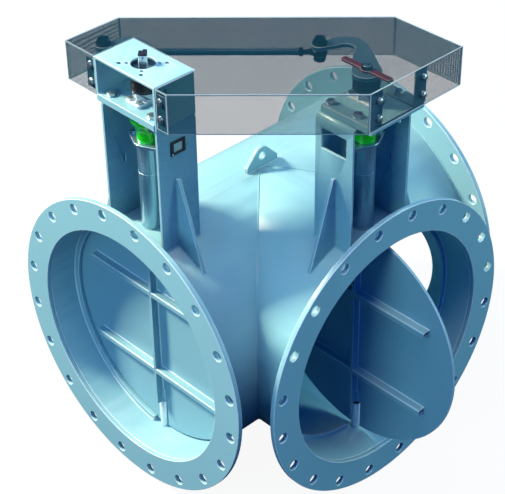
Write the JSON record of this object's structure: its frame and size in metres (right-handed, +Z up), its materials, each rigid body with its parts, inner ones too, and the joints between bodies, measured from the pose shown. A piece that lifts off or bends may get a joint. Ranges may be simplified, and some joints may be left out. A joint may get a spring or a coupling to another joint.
{
  "type": "three-way butterfly damper",
  "caption": "Flanged duct tee with two linked butterfly discs: a tie rod and hooked levers under a perforated hood open one port while the other closes.",
  "frame": {"origin": "centre of the common port's flange face", "axes": "+Y out of the common port along the run, +X along the branch to the side port, +Z up along the shafts"},
  "size_m": [1.0035, 0.864, 1.1214],
  "materials": {
    "duct_paint": "satin",
    "flange_paint": "satin",
    "stop_paint": "satin",
    "tower_paint": "satin",
    "console_paint": "satin",
    "disc_paint": "satin",
    "tube_steel": "polished",
    "bush_bronze": "turned",
    "gland_green": "gloss",
    "fastener_zinc": "zinc plated",
    "black_fastener": "black oxide",
    "base_casting": "satin",
    "housing_black": "satin",
    "shaft_steel": "turned",
    "pivot_steel": "turned",
    "washer_plastic": "satin",
    "lever_paint": "satin",
    "rod_paint": "satin",
    "pointer_red": "satin",
    "cap_black": "satin",
    "hood_mesh": "perforated",
    "bracket_paint": "satin",
    "nameplate_black": "satin",
    "nameplate_pale": "satin"
  },
  "bodies": {
    "base": {"actuator_console": "console_paint", "bearing_base_bolts": "fastener_zinc", "bearing_bases": "base_casting", "branch_duct": "duct_paint", "common_port_flange": "flange_paint", "console_brackets": "bracket_paint", "front_bearing_housing": "housing_black", "front_gland": "gland_green", "front_left_stop": "stop_paint", "front_port_flange": "flange_paint", "front_right_stop": "stop_paint", "front_shaft_tube": "tube_steel", "front_top_plate": "tower_paint", "front_tower": "tower_paint", "gland_bolts": "fastener_zinc", "hood_back_wall": "hood_mesh", "hood_bolts": "fastener_zinc", "hood_console_wall": "hood_mesh", "hood_diagonal_wall": "hood_mesh", "hood_left_end_wall": "hood_mesh", "hood_right_end_wall": "hood_mesh", "hood_top_panel": "hood_mesh", "hood_tower_wall": "hood_mesh", "lifting_lug": "duct_paint", "lower_pivots": "pivot_steel", "nameplate_blank": "nameplate_pale", "nameplate_frame": "nameplate_black", "run_duct": "duct_paint", "side_bearing_housing": "housing_black", "side_gland": "gland_green", "side_inner_stop": "stop_paint", "side_outer_stop": "stop_paint", "side_port_flange": "flange_paint", "side_shaft_tube": "tube_steel", "side_top_plate": "tower_paint", "side_tower": "tower_paint", "thrust_washers": "washer_plastic", "top_plate_bolts": "fastener_zinc", "tower_brackets": "bracket_paint", "tower_gussets": "tower_paint", "tube_bushes": "bush_bronze"},
    "front_valve": {"front_shaft": "shaft_steel", "front_disc": "disc_paint", "front_disc_bars": "disc_paint", "front_lever": "lever_paint", "front_lever_pin": "black_fastener", "front_pin_washers": "black_fastener", "square_cap": "cap_black"},
    "side_valve": {"side_shaft": "shaft_steel", "side_disc": "disc_paint", "side_disc_bars": "disc_paint", "side_lever": "lever_paint", "side_lever_pin": "black_fastener", "side_pin_washers": "black_fastener", "pointer": "pointer_red", "pointer_nut": "black_fastener"},
    "tie_rod_body": {"tie_rod": "rod_paint", "rod_ends": "black_fastener", "rod_lock_nuts": "black_fastener"}
  },
  "joints": [
    {"name": "front_shaft_turn", "type": "hinge", "parent": "base", "child": "front_valve", "pos_m": [0, -0.764, 0], "axis": [0, 0, -1], "range_deg": [0, 90]},
    {"name": "side_shaft_turn", "type": "hinge", "parent": "base", "child": "side_valve", "pos_m": [0.332, -0.432, 0], "axis": [0, 0, -1], "range_deg": [0, 90]},
    {"name": "tie_rod_pin_turn", "type": "hinge", "parent": "front_valve", "child": "tie_rod_body", "pos_m": [-0.153, -0.748, 0.6765], "axis": [0, 0, -1], "range_deg": [-90, 0]}
  ],
  "couplings": [
    {"joint": "side_shaft_turn", "follows": "front_shaft_turn", "ratio": 1},
    {"joint": "tie_rod_pin_turn", "follows": "front_shaft_turn", "ratio": -1}
  ]
}
